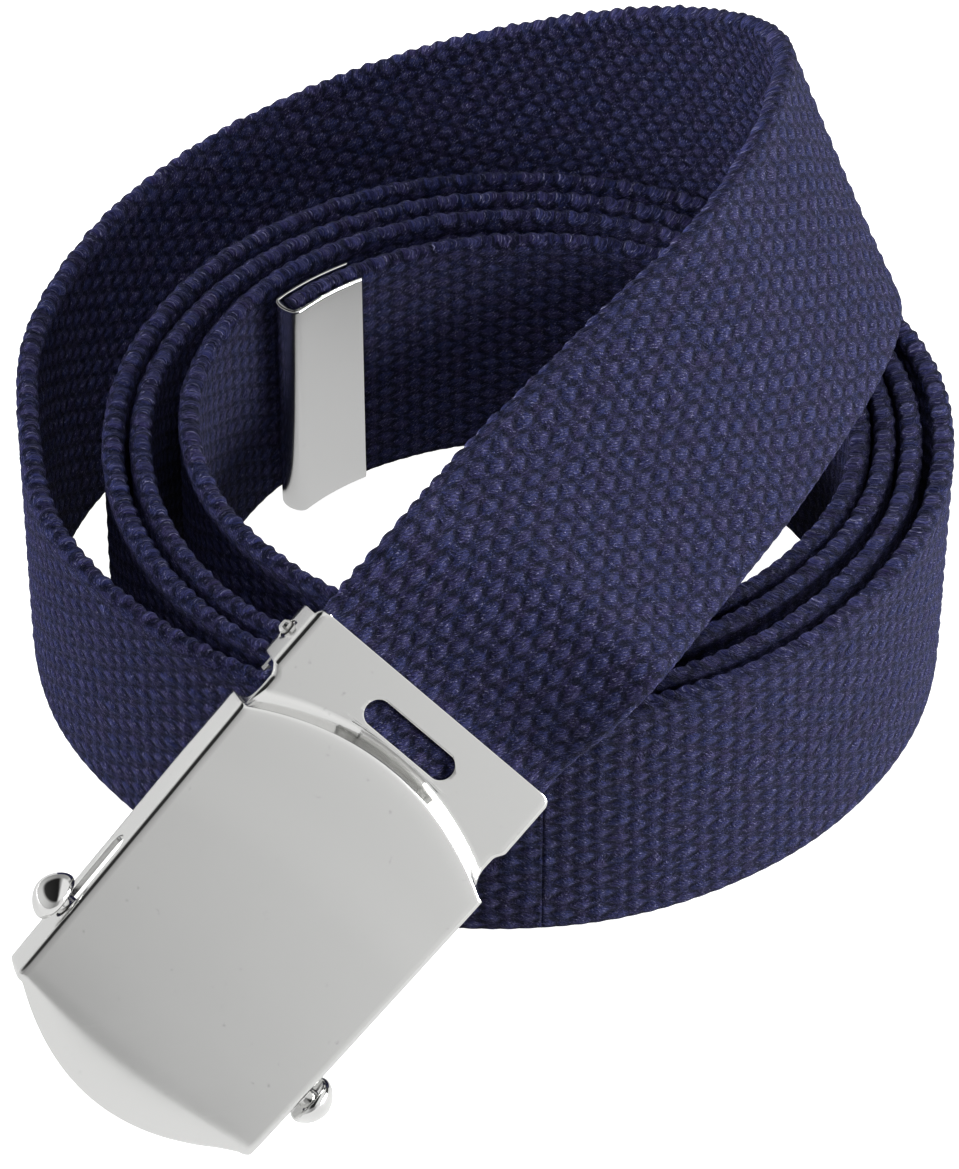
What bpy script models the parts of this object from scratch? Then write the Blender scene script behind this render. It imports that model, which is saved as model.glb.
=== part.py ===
"""Cotton web belt, coiled on its edge, with a slide-bar buckle and a metal end cap.

All lengths are in metres and +Z is up.  The belt is one ribbon of webbing.  It
starts under the neck of the buckle, leans across the top of the coil, runs
wide round the back and then winds inwards, standing on its edge, to the cap on
its free end.  Tables hold shares of the named sizes below.
"""
import math

import bmesh
import bpy
import numpy as np
from mathutils import Vector

# Sizes of the webbing and of the coil
web_width = 0.0320
web_thick = 0.0024
coil_reach = 0.0500
section_step = 0.0040

# Sizes of the buckle case
neck_length = 0.0129
face_length = 0.0373
face_taper = 0.0009
face_overhang = 0.0006
sheet_thick = 0.0006
face_rise = 0.0025
arc_bow = 0.0046
lip_bow = 0.0052
wall_drop = 0.0056
window_span = 0.0092
window_dia = 0.0031

# Sizes of the loose bar and of the toothed clamp
bar_dia = 0.0024
bar_travel = 0.0080
bar_from_neck = 0.0282
knob_dia = 0.0056
knob_height = 0.0029
clamp_pivot_along = 0.0042
clamp_reach = 0.0050
clamp_thick = 0.0008
barrel_dia = 0.0017
nub_dia = 0.0016

# Sizes of the cap on the free end
tip_length = 0.0100
tip_sheet = 0.0005

# Gap kept between two pieces
fit_gap = 0.0003

# Where the buckle lies: its corner is this far over the ground
corner_clear = 0.0005
neck_x = -0.0858
neck_y = -1.0146
along_axis = Vector((-0.657, -0.479, -0.582)).normalized()
out_hint = Vector((0.235, -0.864, 0.446))

# Centre of the coil, as shares of coil_reach
centre_x = 0.080
centre_y = 0.160

# Turns of the coil, a row every 30 degrees from the left side, seen from above.
# reach is the radius of the outer turn as a share of coil_reach.  The slack
# columns are the open room between two turns as shares of web_thick.
TURNS = [
    # degrees, reach, slack_2, slack_3, slack_4
    (180, 1.126, 2.96, 0.33, 1.40),
    (210, 1.054, 1.64, 0.42, 2.20),
    (240, 1.000, 0.50, 0.42, 2.58),
    (270, 0.970, 0.25, 0.67, 1.33),
    (300, 0.962, 0.33, 0.96, 0.40),
    (330, 0.972, 0.50, 0.58, 0.27),
    (360, 1.007, 0.50, 0.27, 0.24),
    (390, 1.028, 0.71, 0.29, 0.25),
    (420, 1.028, 0.63, 0.38, 0.58),
    (450, 1.032, 0.71, 0.63, 1.17),
    (480, 1.012, 0.75, 0.42, 1.13),
    (510, 0.968, 0.42, 0.83, 0.60),
]
first_degrees = 195
last_degrees = 180 + 3 * 360 + 316

# The lead, a row for each section from the buckle to the left side of the coil.
# x and y are shares of coil_reach and z is a share of web_width, all to the
# middle of the webbing.  lean_x and lean_y tip its upper edge over.
LEAD = [
    # x, y, z, lean_x, lean_y
    (0.064, -0.891, 1.542, -0.71, 0.33),
    (0.139, -0.823, 1.618, -0.74, 0.43),
    (0.208, -0.726, 1.643, -0.71, 0.41),
    (0.276, -0.628, 1.665, -0.68, 0.38),
    (0.347, -0.533, 1.694, -0.65, 0.35),
    (0.489, -0.344, 1.754, -0.59, 0.28),
    (0.622, -0.147, 1.799, -0.51, 0.22),
    (0.728, 0.071, 1.810, -0.49, 0.21),
    (0.803, 0.298, 1.799, -0.48, 0.20),
    (0.822, 0.416, 1.774, -0.46, 0.20),
    (0.827, 0.534, 1.735, -0.41, 0.21),
    (0.813, 0.650, 1.683, -0.37, 0.22),
    (0.780, 0.762, 1.620, -0.35, 0.22),
    (0.672, 0.960, 1.480, -0.36, 0.22),
    (0.527, 1.124, 1.328, -0.39, 0.19),
    (0.348, 1.250, 1.166, -0.40, 0.17),
    (0.143, 1.332, 1.001, -0.39, 0.20),
    (-0.076, 1.364, 0.843, -0.37, 0.27),
    (-0.415, 1.309, 0.648, -0.37, 0.29),
    (-0.716, 1.117, 0.544, -0.30, 0.17),
    (-0.941, 0.834, 0.505, -0.16, 0.05),
    (-1.058, 0.487, 0.500, -0.05, 0.01),
    (-1.060, 0.243, 0.501, 0.00, 0.01),
]

# The stamped case, a row for each station from the neck to the lip.  along is a
# share of the neck or face length, bow a share of arc_bow or lip_bow, rise a
# share of face_rise, narrow a share of sheet_thick off each side and drop a
# share of wall_drop for the side walls.
CASE = [
    # part, along, bow, rise, narrow, drop
    ("neck", 0.000, 0.00, 0.00, 1.6, 0.12),
    ("neck", 0.020, 0.00, 0.00, 0.5, 0.14),
    ("neck", 0.070, 0.00, 0.00, 0.0, 0.14),
    ("neck", 0.095, 0.00, 0.00, 0.0, 1.00),
    ("neck", 0.130, 0.00, 0.00, 0.0, 1.04),
    ("neck", 0.330, 0.00, 0.00, 0.0, 1.04),
    ("neck", 0.570, 0.16, 0.00, 0.0, 1.04),
    ("neck", 0.600, 0.25, 0.00, 0.2, 0.14),
    ("neck", 0.680, 0.45, 0.00, 1.2, 0.13),
    ("neck", 0.800, 0.79, 0.00, 1.25, 0.13),
    ("neck", 0.870, 0.86, 0.10, 1.1, 0.16),
    ("neck", 0.930, 0.93, 0.38, 0.7, 0.26),
    ("neck", 0.975, 0.98, 0.80, 0.2, 0.55),
    ("neck", 1.000, 1.00, 1.00, 0.0, 1.00),
    ("face", 0.030, 0.86, 1.02, 0.0, 1.00),
    ("face", 0.160, 0.55, 1.03, 0.0, 1.00),
    ("face", 0.340, 0.26, 1.05, 0.0, 1.00),
    ("face", 0.560, 0.08, 1.05, 0.0, 1.00),
    ("face", 0.780, 0.00, 1.04, 0.0, 1.00),
    ("face", 0.940, -0.04, 1.01, 0.0, 1.00),
    ("face", 0.975, -0.18, 0.97, 0.0, 0.96),
    ("lip", 0.988, -0.45, 0.86, 0.4, 0.60),
    ("lip", 0.996, -0.75, 0.66, 1.0, 0.30),
    ("lip", 1.000, -1.00, 0.38, 1.6, 0.14),
]

# Places across the plate, as shares of its half width
ACROSS = [-0.985, -0.90, -0.72, -0.48, -0.24, 0.0, 0.24, 0.48, 0.72, 0.90, 0.985]

MATERIALS = {
    "navy_cotton": ((0.030, 0.031, 0.075, 1.0), 0.0, 0.92),
    "nickel_plate": ((0.62, 0.61, 0.60, 1.0), 1.0, 0.28),
}


def clear_scene():
    for item in list(bpy.data.objects):
        bpy.data.objects.remove(item, do_unlink=True)


def make_material(name):
    colour, metallic, roughness = MATERIALS[name]
    material = bpy.data.materials.new(name)
    material.use_nodes = True
    shader = material.node_tree.nodes["Principled BSDF"]
    shader.inputs["Base Color"].default_value = colour
    shader.inputs["Metallic"].default_value = metallic
    shader.inputs["Roughness"].default_value = roughness
    material.diffuse_color = colour
    return material


def make_object(name, verts, faces, material, smooth_degrees=35.0):
    mesh = bpy.data.meshes.new(name)
    mesh.from_pydata([tuple(v) for v in verts], [], faces)
    work = bmesh.new()
    work.from_mesh(mesh)
    bmesh.ops.recalc_face_normals(work, faces=work.faces)
    work.to_mesh(mesh)
    work.free()
    for polygon in mesh.polygons:
        polygon.use_smooth = True
    mesh.set_sharp_from_angle(angle=math.radians(smooth_degrees))
    item = bpy.data.objects.new(name, mesh)
    bpy.context.scene.collection.objects.link(item)
    mesh.materials.append(material)
    return item


def buckle_frame():
    """The neck edge of the buckle, and its along, across and outward directions."""
    outward = (out_hint - along_axis * out_hint.dot(along_axis)).normalized()
    across = outward.cross(along_axis)
    length = neck_length + face_length
    half = web_width / 2 + fit_gap + sheet_thick + face_overhang
    corner = along_axis * length + across * half + outward * (face_rise - wall_drop)
    tail = along_axis * (length + lip_bow)
    lowest = min(corner.z, tail.z)
    edge = Vector((neck_x * coil_reach, neck_y * coil_reach, corner_clear - lowest))
    return edge, along_axis.copy(), across, outward


def to_world(edge, axes, along, across, outward):
    return edge + axes[0] * along + axes[1] * across + axes[2] * outward


def web_rows():
    """Middle points and upward edge directions of the webbing, buckle to free end."""
    edge, along, across, outward = buckle_frame()
    sink = sheet_thick + fit_gap + web_thick / 2
    middles = []
    leans = []
    for back in (0.74, 0.37, 0.0, -0.14):
        middles.append(edge + along * (neck_length * back) - outward * sink)
        leans.append(-across)
    for x, y, z, lean_x, lean_y in LEAD:
        upright = math.sqrt(1.0 - lean_x ** 2 - lean_y ** 2)
        middles.append(Vector((x * coil_reach, y * coil_reach, z * web_width)))
        leans.append(Vector((lean_x, lean_y, upright)))
    centre = Vector((centre_x * coil_reach, centre_y * coil_reach, web_width / 2))
    degrees = first_degrees
    while degrees < last_degrees + 1e-6:
        middles.append(centre + coil_offset(degrees))
        leans.append(Vector((0.0, 0.0, 1.0)))
        degrees += 15 if last_degrees - degrees < 30 else 30
        if degrees - last_degrees > 0 and degrees - last_degrees < 15:
            degrees = last_degrees
    return middles, leans


def coil_offset(degrees):
    """Place of the webbing's middle on the coil, from the coil's centre."""
    turn = int((degrees - 180) // 360)
    round_degrees = (degrees - 180) % 360
    radius = turn_radius(round_degrees, turn)
    angle = math.radians(degrees)
    return Vector((radius * math.cos(angle), radius * math.sin(angle), 0.0))


def turn_radius(round_degrees, turn):
    """Radius of one turn, joined smoothly to the next one at the left side."""
    place = round_degrees / 30.0
    low = int(math.floor(place))
    share = place - low
    values = [row_radius(low + step, turn) for step in (-1, 0, 1, 2)]
    return hermite(values, share)


def row_radius(row, turn):
    count = len(TURNS)
    turn += row // count
    row = row % count
    turn = max(0, min(3, turn))
    radius = TURNS[row][1] * coil_reach
    for slack in TURNS[row][2:2 + turn]:
        radius -= web_thick * (1.0 + slack)
    return radius


def hermite(values, share):
    before, start, end, after = values
    rise_start = (end - before) / 2
    rise_end = (after - start) / 2
    s2 = share * share
    s3 = s2 * share
    return (start * (2 * s3 - 3 * s2 + 1) + rise_start * (s3 - 2 * s2 + share)
            + end * (3 * s2 - 2 * s3) + rise_end * (s3 - s2))


def smooth_line(points, knots, places):
    """Cubic line through the points, with slopes weighed by the knot spacing."""
    points = np.array(points, dtype=float)
    knots = np.array(knots, dtype=float)
    steps = np.diff(knots)
    slopes = np.diff(points, axis=0) / steps[:, None]
    tangents = np.zeros_like(points)
    weight = steps[1:] / (steps[:-1] + steps[1:])
    tangents[1:-1] = slopes[:-1] * weight[:, None] + slopes[1:] * (1 - weight)[:, None]
    tangents[0] = slopes[0]
    tangents[-1] = 2 * slopes[-1] - tangents[-2]
    result = []
    for place in places:
        low = int(np.clip(np.searchsorted(knots, place) - 1, 0, len(steps) - 1))
        share = (place - knots[low]) / steps[low]
        s2 = share * share
        s3 = s2 * share
        result.append(points[low] * (2 * s3 - 3 * s2 + 1)
                      + tangents[low] * steps[low] * (s3 - 2 * s2 + share)
                      + points[low + 1] * (3 * s2 - 2 * s3)
                      + tangents[low + 1] * steps[low] * (s3 - s2))
    return np.array(result)


def web_path():
    """Evenly spaced frames down the webbing: middle, along, edge and face axes."""
    middles, leans = web_rows()
    knots = [0.0]
    for first, second in zip(middles, middles[1:]):
        knots.append(knots[-1] + (second - first).length)
    count = int(round(knots[-1] / section_step))
    places = np.linspace(0.0, knots[-1], count + 1)
    line = smooth_line([tuple(m) for m in middles], knots, places)
    edge = smooth_line([tuple(v) for v in leans], knots, places)
    frames = []
    for index in range(len(line)):
        before = line[max(0, index - 1)]
        after = line[min(len(line) - 1, index + 1)]
        along = Vector(after - before).normalized()
        upward = Vector(edge[index])
        upward = (upward - along * upward.dot(along)).normalized()
        facing = along.cross(upward)
        middle = Vector(line[index])
        # No section dips under the ground
        deep = max(-(high * upward.z + thick * facing.z) for high, thick in web_profile())
        middle.z = max(middle.z, deep)
        frames.append((middle, along, upward, facing))
    return frames


def web_profile():
    """Flat-edged outline of the webbing: places over its width and thickness."""
    half = web_width / 2
    soft = web_thick * 0.30
    return [
        (half - soft, web_thick / 2), (half, web_thick / 4),
        (half, -web_thick / 4), (half - soft, -web_thick / 2),
        (-half + soft, -web_thick / 2), (-half, -web_thick / 4),
        (-half, web_thick / 4), (-half + soft, web_thick / 2),
    ]


def loft(rings):
    """Closed body through rings of equal count, with a flat fan at each end."""
    verts = []
    faces = []
    size = len(rings[0])
    for ring in rings:
        verts.extend(ring)
    for row in range(len(rings) - 1):
        for item in range(size):
            after = (item + 1) % size
            faces.append((row * size + item, row * size + after,
                          (row + 1) * size + after, (row + 1) * size + item))
    faces.append(tuple(reversed(range(size))))
    last = (len(rings) - 1) * size
    faces.append(tuple(range(last, last + size)))
    return verts, faces


def build_strap(frames, material):
    profile = web_profile()
    rings = []
    for middle, along, upward, facing in frames:
        rings.append([middle + upward * high + facing * thick for high, thick in profile])
    verts, faces = loft(rings)
    return make_object("web_strap", verts, faces, material)


def near_end(frames, place):
    """Middle of the webbing and its facing side at a place counted from its free end."""
    last = frames[-1]
    if place >= 0.0:
        return last[0] + last[1] * place, last[3]
    steps = -place / section_step
    low = int(math.floor(steps))
    share = steps - low
    first = frames[-1 - low]
    second = frames[-2 - low]
    return first[0].lerp(second[0], share), first[3].lerp(second[3], share).normalized()


def build_tip(frames, material):
    """Sheet folded round the free end; its rims are softened at top and bottom."""
    upward = frames[-1][2]
    inner = web_thick / 2 + fit_gap
    outer = inner + tip_sheet
    places = [-tip_length * share for share in (0.96, 0.75, 0.50, 0.25)]
    outline = [(place, -outer) for place in places]
    for share in np.linspace(-1.0, 1.0, 9):
        turn = share * math.pi / 2
        outline.append((fit_gap + outer * math.cos(turn) * 0.62, outer * math.sin(turn)))
    outline += [(place, outer) for place in reversed(places)]
    outline += [(place, inner) for place in places]
    for share in np.linspace(1.0, -1.0, 7):
        turn = share * math.pi / 2
        outline.append((fit_gap + inner * math.cos(turn) * 0.30, inner * math.sin(turn)))
    outline += [(place, -inner) for place in reversed(places)]
    centre_line = 0.5 * (inner + outer)
    rows = [(-0.490, 0.35), (-0.484, 0.05), (0.484, 0.05), (0.490, 0.35)]
    rings = []
    for level, soften in rows:
        ring = []
        for place, side in outline:
            drawn = side
            if abs(side) > centre_line:
                drawn = side - math.copysign(tip_sheet * 0.5 * soften, side)
            elif abs(abs(side) - inner) < 1e-9:
                drawn = side + math.copysign(tip_sheet * 0.5 * soften, side)
            middle, facing = near_end(frames, place)
            ring.append(middle + facing * drawn + upward * (level * web_width))
        rings.append(ring)
    verts, faces = loft(rings)
    return make_object("strap_tip", verts, faces, material)


def case_station(row):
    """Along place of one station, with its bow, rise, half width and wall drop."""
    part, along, bow, rise, narrow, drop = row
    if part == "neck":
        place = along * neck_length
        half = web_width / 2 + fit_gap + sheet_thick
        if along > 0.96:
            half += face_overhang * (along - 0.96) / 0.04
    else:
        place = neck_length + along * face_length
        half = web_width / 2 + fit_gap + sheet_thick + face_overhang - face_taper * along
    reach = lip_bow if part == "lip" or bow < 0 else arc_bow
    return place, bow * reach, rise * face_rise, half - narrow * sheet_thick, drop * wall_drop


def case_surface():
    """Grid of outer points of the case, in along, across and outward places."""
    grid = []
    for row in CASE:
        place, bow, rise, half, drop = case_station(row)
        line = []
        soft = sheet_thick * 0.9
        line.append((place, -half, rise - drop))
        line.append((place, -half, rise - drop * 0.5 - soft * 0.5))
        line.append((place, -half, rise - soft))
        line.append((place, soft * 0.3 - half, rise - soft * 0.3))
        for share in ACROSS:
            over = share * (half - soft)
            shift = bow * (1.0 - share * share)
            line.append((place - shift, over, rise))
        line.append((place, half - soft * 0.3, rise - soft * 0.3))
        line.append((place, half, rise - soft))
        line.append((place, half, rise - drop * 0.5 - soft * 0.5))
        line.append((place, half, rise - drop))
        grid.append(line)
    return grid


def build_case(material):
    edge, along, across, outward = buckle_frame()
    axes = (along, across, outward)
    outer = np.array(case_surface())
    rows, columns = outer.shape[:2]
    steps_along = np.gradient(outer, axis=0)
    steps_over = np.gradient(outer, axis=1)
    normal = np.cross(steps_along, steps_over)
    normal /= np.linalg.norm(normal, axis=2)[:, :, None]
    inner = outer - normal * sheet_thick
    # The walls and the flat parts are drawn in square to their own plane
    for column in range(columns):
        for row in range(rows):
            if column < 3:
                inner[row, column] = outer[row, column] + (0, sheet_thick, 0)
            elif column > columns - 4:
                inner[row, column] = outer[row, column] - (0, sheet_thick, 0)
    verts = [to_world(edge, axes, *p) for p in outer.reshape(-1, 3)]
    verts += [to_world(edge, axes, *p) for p in inner.reshape(-1, 3)]
    size = rows * columns
    faces = []
    for row in range(rows - 1):
        for column in range(columns - 1):
            first = row * columns + column
            faces.append((first, first + 1, first + columns + 1, first + columns))
            faces.append((size + first, size + first + columns,
                          size + first + columns + 1, size + first + 1))
    border = [c for c in range(columns)]
    border += [r * columns + columns - 1 for r in range(1, rows)]
    border += [(rows - 1) * columns + c for c in range(columns - 2, -1, -1)]
    border += [r * columns for r in range(rows - 2, 0, -1)]
    for item in range(len(border)):
        first = border[item]
        second = border[(item + 1) % len(border)]
        faces.append((second, first, size + first, size + second))
    case = make_object("buckle_case", verts, faces, material)
    half = window_span / 2
    window = capsule("cut_window", [(neck_length * 0.365, -half), (neck_length * 0.365, half)],
                     window_dia / 2, "outward", (-0.002, 0.002))
    high = neck_length + bar_from_neck
    low = high - bar_travel
    slot = capsule("cut_slot", [(low, bar_level()), (high, bar_level())],
                   bar_dia / 2 + fit_gap, "across", (-web_width, web_width))
    holes = capsule("cut_holes", [(clamp_pivot_along, pivot_level())],
                    nub_dia / 2 + fit_gap, "across", (-web_width, web_width))
    for cutter in (window, slot, holes):
        cut = case.modifiers.new("cut", "BOOLEAN")
        cut.operation = "DIFFERENCE"
        cut.solver = "EXACT"
        cut.object = cutter
    return case


def bar_level():
    """Height of the bar's middle: it runs just under the face plate."""
    return face_rise - sheet_thick - fit_gap * 2 - bar_dia / 2


def pivot_level():
    """Height of the clamp's pivot: its barrel stays clear of the webbing."""
    return -(sheet_thick + fit_gap * 2.4 + web_thick + barrel_dia / 2)


def capsule(name, centres, radius, way, span, sides=20):
    """Round-ended cutter that runs across or outward through the case."""
    edge, along, across, outward = buckle_frame()
    axes = (along, across, outward)
    first = centres[0]
    last = centres[-1]
    ring = []
    for item in range(sides):
        turn = 2 * math.pi * (item + 0.5) / sides
        if way == "outward":
            base = last if math.sin(turn) > 0 else first
            ring.append((base[0] + radius * math.cos(turn), base[1] + radius * math.sin(turn)))
        else:
            base = last if math.cos(turn) > 0 else first
            ring.append((base[0] + radius * math.cos(turn), base[1] + radius * math.sin(turn)))
    rings = []
    for level in span:
        if way == "outward":
            rings.append([to_world(edge, axes, a, b, level) for a, b in ring])
        else:
            rings.append([to_world(edge, axes, a, level, b) for a, b in ring])
    verts, faces = loft(rings)
    mesh = bpy.data.meshes.new(name)
    mesh.from_pydata([tuple(v) for v in verts], [], faces)
    work = bmesh.new()
    work.from_mesh(mesh)
    bmesh.ops.recalc_face_normals(work, faces=work.faces)
    work.to_mesh(mesh)
    work.free()
    cutter = bpy.data.objects.new(name, mesh)
    bpy.context.scene.collection.objects.link(cutter)
    cutter.hide_render = True
    cutter.display_type = "WIRE"
    return cutter


def turned(name, stations, origin, axis, across_axis, material, sides=20):
    """Round body about an axis from (place, radius) stations, closed at both ends."""
    third = axis.cross(across_axis)
    rings = []
    for place, radius in stations:
        ring = []
        for item in range(sides):
            turn = 2 * math.pi * item / sides
            ring.append(axis * place + across_axis * (radius * math.cos(turn))
                        + third * (radius * math.sin(turn)))
        rings.append(ring)
    verts, faces = loft(rings)
    item = make_object(name, verts, faces, material)
    item.location = origin
    return item


def build_bar(material):
    """The loose bar: a plain rod with a domed knob outside each side wall."""
    edge, along, across, outward = buckle_frame()
    place = neck_length + bar_from_neck
    origin = to_world(edge, (along, across, outward), place, 0.0, bar_level())
    half = web_width / 2 + fit_gap + sheet_thick + face_overhang + fit_gap
    rod = bar_dia / 2
    knob = knob_dia / 2
    dome = [(0.00, 0.86), (0.06, 0.96), (0.18, 1.00), (0.38, 0.95),
            (0.60, 0.80), (0.80, 0.57), (0.95, 0.26)]
    right = [(half + share * knob_height, size * knob) for share, size in dome]
    left = [(-place, size) for place, size in reversed(right)]
    stations = left + [(-half, rod), (half, rod)] + right
    return turned("slide_bar", stations, origin, across, along, material)


def build_clamp(material):
    """Toothed clamp under the neck, turning on two nubs that show in the ears."""
    edge, along, across, outward = buckle_frame()
    axes = (along, across, outward)
    origin = to_world(edge, axes, clamp_pivot_along, 0.0, pivot_level())
    inside = web_width / 2
    outside = web_width / 2 + fit_gap + sheet_thick + sheet_thick * 1.3
    barrel = barrel_dia / 2
    nub = nub_dia / 2
    bite = -(sheet_thick + fit_gap * 2 + web_thick) - pivot_level()
    low = -barrel
    far = clamp_reach
    profile = [(0.0, -barrel), (far, low), (far, bite), (far - clamp_thick, bite),
               (far - clamp_thick, low + clamp_thick), (barrel * 0.8, low + clamp_thick),
               (barrel * 0.7, barrel * 0.7), (0.0, barrel),
               (-barrel * 0.7, barrel * 0.7), (-barrel, 0.0), (-barrel * 0.7, -barrel * 0.7)]
    teeth = 12
    rings = []
    levels = []
    for tooth in range(teeth):
        start = -inside + 2 * inside * tooth / teeth
        width = 2 * inside / teeth
        levels += [(start, 0.55), (start + width * 0.5, 0.0)]
    levels.append((inside, 0.55))
    for level, notch in levels:
        ring = []
        for index, (a, b) in enumerate(profile):
            high = b
            if index in (2, 3):
                high = b - notch * clamp_thick
            ring.append(along * a + across * level + outward * high)
        rings.append(ring)
    verts, faces = loft(rings)
    clamp = make_object("clamp_plate", verts, faces, material)
    clamp.location = origin
    stub = turned("nub_stub", [(-outside, nub * 0.7), (-outside + nub * 0.4, nub),
                               (outside - nub * 0.4, nub), (outside, nub * 0.7)],
                  origin, across, along, material, sides=16)
    join = clamp.modifiers.new("nubs", "BOOLEAN")
    join.operation = "UNION"
    join.solver = "EXACT"
    join.object = stub
    stub.hide_render = True
    stub.display_type = "WIRE"
    return clamp


def settle_on_origin(pieces):
    """Move everything so the middle of the whole footprint is at x = y = 0."""
    bpy.context.view_layer.update()
    low = Vector((1e9, 1e9, 1e9))
    high = Vector((-1e9, -1e9, -1e9))
    for piece in pieces:
        for corner in piece.data.vertices:
            world = piece.matrix_world @ corner.co
            for axis in range(3):
                low[axis] = min(low[axis], world[axis])
                high[axis] = max(high[axis], world[axis])
    shift = Vector((-(low.x + high.x) / 2, -(low.y + high.y) / 2, -low.z))
    for item in bpy.data.objects:
        item.location = item.location + shift
    bpy.context.view_layer.update()
    print("shift", [round(v, 6) for v in shift])


def main():
    clear_scene()
    cotton = make_material("navy_cotton")
    nickel = [make_material("nickel_plate") for _ in range(4)]
    frames = web_path()
    strap = build_strap(frames, cotton)
    tip = build_tip(frames, nickel[0])
    case = build_case(nickel[1])
    bar = build_bar(nickel[2])
    clamp = build_clamp(nickel[3])
    settle_on_origin([strap, tip, case, bar, clamp])
    length = (len(frames) - 1) * section_step
    print("webbing length about", round(length, 4), "sections", len(frames))


main()
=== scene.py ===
# %% [markdown]
# A canvas web belt, coiled on its edge.
# The real thing is one length of navy cotton webbing with a nickel-plated slide-bar
# buckle on one end and a folded metal cap on the other.  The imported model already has
# every piece at its true size and place, so this lesson only dresses it: woven cloth
# with a looped upper edge, a stamped case with softened rims, polished knobs, and the
# light and camera of a plain product photograph.

import math

import bmesh
import bpy
import numpy as np
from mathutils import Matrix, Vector


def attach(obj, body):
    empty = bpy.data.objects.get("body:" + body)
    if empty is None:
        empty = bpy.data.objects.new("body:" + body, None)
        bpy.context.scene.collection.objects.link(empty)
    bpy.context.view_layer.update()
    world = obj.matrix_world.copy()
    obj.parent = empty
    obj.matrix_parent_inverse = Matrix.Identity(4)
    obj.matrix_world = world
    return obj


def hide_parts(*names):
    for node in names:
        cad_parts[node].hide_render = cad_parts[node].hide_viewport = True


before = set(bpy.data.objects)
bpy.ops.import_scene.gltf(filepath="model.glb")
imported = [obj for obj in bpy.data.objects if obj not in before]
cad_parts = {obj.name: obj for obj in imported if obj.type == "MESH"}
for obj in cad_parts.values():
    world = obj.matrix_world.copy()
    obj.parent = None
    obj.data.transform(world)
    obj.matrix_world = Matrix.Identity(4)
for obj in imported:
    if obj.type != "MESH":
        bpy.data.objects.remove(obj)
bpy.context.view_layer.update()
print("pieces in the packed model:", sorted(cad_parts))

# %% [markdown]
# Sizes come first.  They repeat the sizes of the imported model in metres, because the
# dressed pieces lie exactly where the plain ones do.

# %% Sizes of the webbing, the coil and the cap
web_width = 0.0320
web_thick = 0.0024
coil_reach = 0.0500
fit_gap = 0.0003
tip_length = 0.0100
tip_sheet = 0.0005
settle = np.array([-0.000283, 0.002661, 0.0])

# %% Sizes of the buckle
neck_length = 0.0129
face_length = 0.0373
face_taper = 0.0009
face_overhang = 0.0006
sheet_thick = 0.0006
face_rise = 0.0025
arc_bow = 0.0046
lip_bow = 0.0052
wall_drop = 0.0056
window_span = 0.0092
window_dia = 0.0031
bar_dia = 0.0024
bar_travel = 0.0080
bar_from_neck = 0.0282
knob_dia = 0.0056
knob_height = 0.0029
clamp_pivot_along = 0.0042
barrel_dia = 0.0017
nub_dia = 0.0016
corner_clear = 0.0005

# %% [markdown]
# The belt's path.  It leaves the neck of the buckle, leans across the open coil, runs
# wide round the back and then winds inwards on its edge.  A table holds a few sections
# of the lead and a table holds the radius of each turn every 30 degrees, as shares of
# the named sizes.  A smooth line is drawn through them, so the cloth can be cut as
# finely as its weave needs.

# %% Tables of the path
TURNS = [
    # degrees, reach, slack_2, slack_3, slack_4
    (180, 1.126, 2.96, 0.33, 1.40),
    (210, 1.054, 1.64, 0.42, 2.20),
    (240, 1.000, 0.50, 0.42, 2.58),
    (270, 0.970, 0.25, 0.67, 1.33),
    (300, 0.962, 0.33, 0.96, 0.40),
    (330, 0.972, 0.50, 0.58, 0.27),
    (360, 1.007, 0.50, 0.27, 0.24),
    (390, 1.028, 0.71, 0.29, 0.25),
    (420, 1.028, 0.63, 0.38, 0.58),
    (450, 1.032, 0.71, 0.63, 1.17),
    (480, 1.012, 0.75, 0.42, 1.13),
    (510, 0.968, 0.42, 0.83, 0.60),
]
first_degrees = 195
last_degrees = 180 + 3 * 360 + 316
coil_centre = np.array([0.080 * coil_reach, 0.160 * coil_reach, web_width / 2])

LEAD = [
    # x, y, z, lean_x, lean_y
    (0.064, -0.891, 1.542, -0.71, 0.33),
    (0.139, -0.823, 1.618, -0.74, 0.43),
    (0.208, -0.726, 1.643, -0.71, 0.41),
    (0.276, -0.628, 1.665, -0.68, 0.38),
    (0.347, -0.533, 1.694, -0.65, 0.35),
    (0.489, -0.344, 1.754, -0.59, 0.28),
    (0.622, -0.147, 1.799, -0.51, 0.22),
    (0.728, 0.071, 1.810, -0.49, 0.21),
    (0.803, 0.298, 1.799, -0.48, 0.20),
    (0.822, 0.416, 1.774, -0.46, 0.20),
    (0.827, 0.534, 1.735, -0.41, 0.21),
    (0.813, 0.650, 1.683, -0.37, 0.22),
    (0.780, 0.762, 1.620, -0.35, 0.22),
    (0.672, 0.960, 1.480, -0.36, 0.22),
    (0.527, 1.124, 1.328, -0.39, 0.19),
    (0.348, 1.250, 1.166, -0.40, 0.17),
    (0.143, 1.332, 1.001, -0.39, 0.20),
    (-0.076, 1.364, 0.843, -0.37, 0.27),
    (-0.415, 1.309, 0.648, -0.37, 0.29),
    (-0.716, 1.117, 0.544, -0.30, 0.17),
    (-0.941, 0.834, 0.505, -0.16, 0.05),
    (-1.058, 0.487, 0.500, -0.05, 0.01),
    (-1.060, 0.243, 0.501, 0.00, 0.01),
]

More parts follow.
